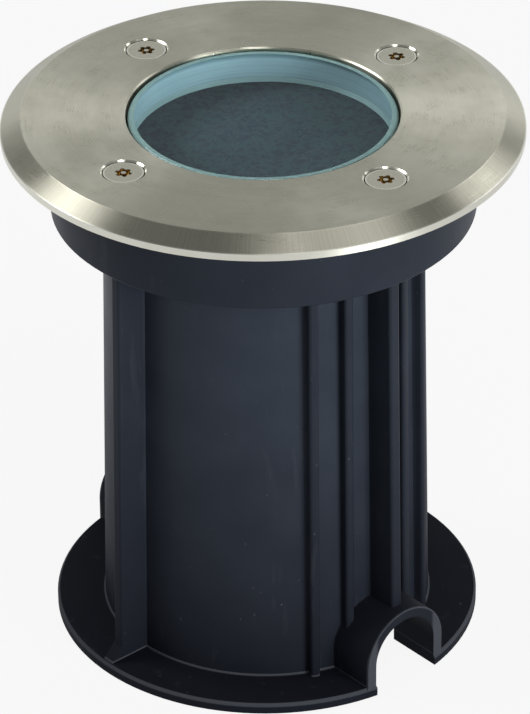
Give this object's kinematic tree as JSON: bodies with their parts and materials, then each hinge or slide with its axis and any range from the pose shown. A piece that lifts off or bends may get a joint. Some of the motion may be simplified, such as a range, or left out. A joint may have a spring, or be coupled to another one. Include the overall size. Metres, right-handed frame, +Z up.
{
  "type": "in ground well light",
  "caption": "Round in ground light: a brushed steel bezel with clear glass over a sealed lamp unit in a ribbed plastic ground sleeve.",
  "frame": {"origin": "centre of the base flange's underside, on the ground plane", "axes": "+Z up through the glass, +X and -X along the two cable tunnels"},
  "size_m": [0.11, 0.11, 0.1211],
  "materials": {
    "sleeve_plastic": "black moulded polypropylene, soft sheen",
    "bezel_steel": "stainless, brushed in circles",
    "screw_steel": "stainless, turned heads",
    "lens_glass": "clear toughened glass with a blue-green edge",
    "smoked_sheet": "dark smoked sheet, faint speckle",
    "gasket_rubber": "matt black silicone rubber",
    "housing_plastic": "black moulded plastic",
    "insert_brass": "turned brass",
    "bracket_steel": "zinc plated sheet steel",
    "fixing_steel": "zinc plated screws",
    "holder_ceramic": "unglazed steatite",
    "contact_brass": "nickel plated brass strip",
    "lead_sleeving": "silicone sleeved lead",
    "block_plastic": "natural moulded terminal block",
    "gland_plastic": "black moulded nylon",
    "lamp_shell": "bright spun aluminium",
    "lamp_glass": "frosted front lens",
    "lamp_ceramic": "white moulded base",
    "lamp_pin_metal": "plated pins",
    "lamp_board": "white faced metal board",
    "lamp_emitter": "yellow phosphor"
  },
  "bodies": {
    "sleeve": {"ground_sleeve": "sleeve_plastic"},
    "lamp_unit": {"lamp_housing": "housing_plastic", "threaded_inserts": "insert_brass", "lower_gasket": "gasket_rubber", "holder_bracket": "bracket_steel", "bracket_screws": "fixing_steel", "lampholder": "holder_ceramic", "lampholder_contacts": "contact_brass", "lampholder_screws": "fixing_steel", "lampholder_leads": "lead_sleeving", "terminal_block": "block_plastic", "terminal_clamps": "contact_brass", "terminal_clamp_screws": "fixing_steel", "terminal_block_screws": "fixing_steel", "gland_body": "gland_plastic", "gland_washer": "gasket_rubber", "gland_locknut": "gland_plastic", "gland_grommet": "gasket_rubber"},
    "bezel": {"bezel_ring": "bezel_steel", "bezel_screws": "screw_steel", "upper_gasket": "gasket_rubber", "glass_lens": "lens_glass", "smoked_disc": "smoked_sheet"},
    "lamp": {"lamp_reflector": "lamp_shell", "lamp_front_lens": "lamp_glass", "lamp_board": "lamp_board", "lamp_emitter": "lamp_emitter", "lamp_base": "lamp_ceramic", "lamp_pins": "lamp_pin_metal"},
    "gland_nut": {"gland_clamp_nut": "gland_plastic"}
  },
  "joints": [
    {"name": "lamp_unit_lift", "type": "slide", "parent": "sleeve", "child": "lamp_unit", "axis": [0, 0, 1], "range_m": [0, 0.11]},
    {"name": "bezel_lift", "type": "slide", "parent": "lamp_unit", "child": "bezel", "axis": [0, 0, 1], "range_m": [0, 0.03]},
    {"name": "lamp_twist", "type": "hinge", "parent": "lamp_unit", "child": "lamp", "pos_m": [0, 0, 0.0612], "axis": [0, 0, 1], "range_deg": [0, 20]},
    {"name": "gland_nut_turn", "type": "hinge", "parent": "lamp_unit", "child": "gland_nut", "pos_m": [0, 0, 0.02], "axis": [0, 0, 1], "continuous": true}
  ]
}
